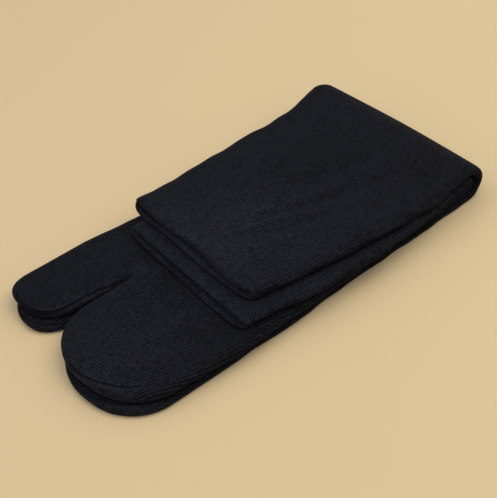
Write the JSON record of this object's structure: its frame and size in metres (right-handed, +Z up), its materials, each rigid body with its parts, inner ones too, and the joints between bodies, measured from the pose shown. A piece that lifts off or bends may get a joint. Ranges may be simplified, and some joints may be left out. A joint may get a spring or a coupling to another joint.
{
  "type": "folded pair of tabi socks",
  "caption": "Folded pair of black knitted split-toe tabi socks, foot on foot, with both legs turned back over the feet and the cuffs open.",
  "frame": {"origin": "under the middle of the pair, on the flat underside that rests on the surface", "axes": "+X from the toes to the fold, +Y across the feet to the big toes' side, +Z up from the surface"},
  "size_m": [0.2164, 0.1198, 0.0185],
  "materials": {
    "black_knit": "matte ribbed knit"
  },
  "bodies": {
    "root": {"sock_outer": "black_knit", "sock_inner": "black_knit"}
  },
  "joints": []
}
